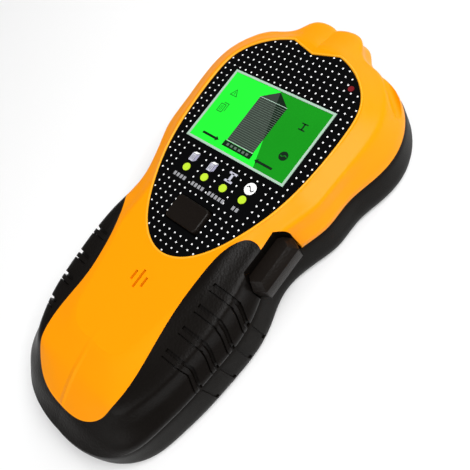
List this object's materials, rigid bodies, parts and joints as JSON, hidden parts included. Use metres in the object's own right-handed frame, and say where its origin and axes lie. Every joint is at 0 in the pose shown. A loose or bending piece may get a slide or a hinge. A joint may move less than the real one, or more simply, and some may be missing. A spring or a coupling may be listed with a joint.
{
  "type": "stud finder",
  "caption": "Hand-held stud finder: pinched case with a broad head, lit display, mode and scan buttons, ribbed rubber grip and a battery door.",
  "frame": {"origin": "on the flat back, in the middle of the case's length and width", "axes": "+Z out of the display face, +Y towards the sensing nose, +X towards the scan button"},
  "size_m": [0.081, 0.1651, 0.0313],
  "materials": {
    "orange_shell": "moulded ABS, satin gloss",
    "grip_rubber": "soft overmoulded grip, satin",
    "black_shell": "fine-grained moulded ABS",
    "label": "printed film",
    "bezel": "light moulded trim",
    "window": "clear acrylic",
    "foam": "foam and elastomer",
    "lcd": "liquid crystal panel, lit green",
    "light_guide": "clear light guide",
    "holder": "moulded frame",
    "board": "glass-epoxy board with green mask",
    "chip": "moulded package",
    "copper": "bare copper",
    "pins": "gold-flashed pins",
    "lamp_green": "tinted clear lens",
    "lamp_red": "tinted clear lens",
    "sounder_metal": "moulded sounder case",
    "button": "satin moulded button",
    "switch_body": "moulded switch",
    "battery_case": "sleeved steel can",
    "lead_red": "insulated wire",
    "lead_black": "insulated wire",
    "screw_steel": "zinc-plated steel"
  },
  "bodies": {
    "case": {"top_shell": "orange_shell", "grip_surround": "grip_rubber", "bottom_shell": "black_shell", "label_plate": "label", "display_bezel": "bezel", "display_window": "window", "display_gasket": "foam", "lcd_panel": "lcd", "backlight_guide": "light_guide", "display_holder": "holder", "connector_strip": "foam", "main_board": "board", "controller_chip": "chip", "amplifier_chip": "chip", "sensor_board": "board", "sensor_plates": "copper", "detection_coil": "copper", "board_header": "pins", "mode_lamps": "lamp_green", "alert_lamp": "lamp_red", "sounder": "sounder_metal", "mode_switch": "switch_body", "scan_switch": "switch_body", "battery": "battery_case", "battery_snap": "switch_body", "lead_positive": "lead_red", "lead_negative": "lead_black", "case_screws": "screw_steel", "board_screws": "screw_steel"},
    "mode_button": {"mode_button": "button", "mode_plunger": "switch_body"},
    "scan_button": {"scan_button": "button", "scan_plunger": "switch_body"},
    "battery_door": {"battery_door": "black_shell", "battery_pad": "foam"}
  },
  "joints": [
    {"name": "mode_press", "type": "slide", "parent": "case", "child": "mode_button", "axis": [0, 0, -1], "range_m": [0, 0.0005], "stiffness_N_per_m": 1500},
    {"name": "scan_press", "type": "slide", "parent": "case", "child": "scan_button", "axis": [-1, 0, 0], "range_m": [0, 0.0005], "stiffness_N_per_m": 1500},
    {"name": "door_swing", "type": "hinge", "parent": "case", "child": "battery_door", "pos_m": [0, -0.0701, 0], "axis": [-1, 0, 0], "range_deg": [0, 75]}
  ]
}
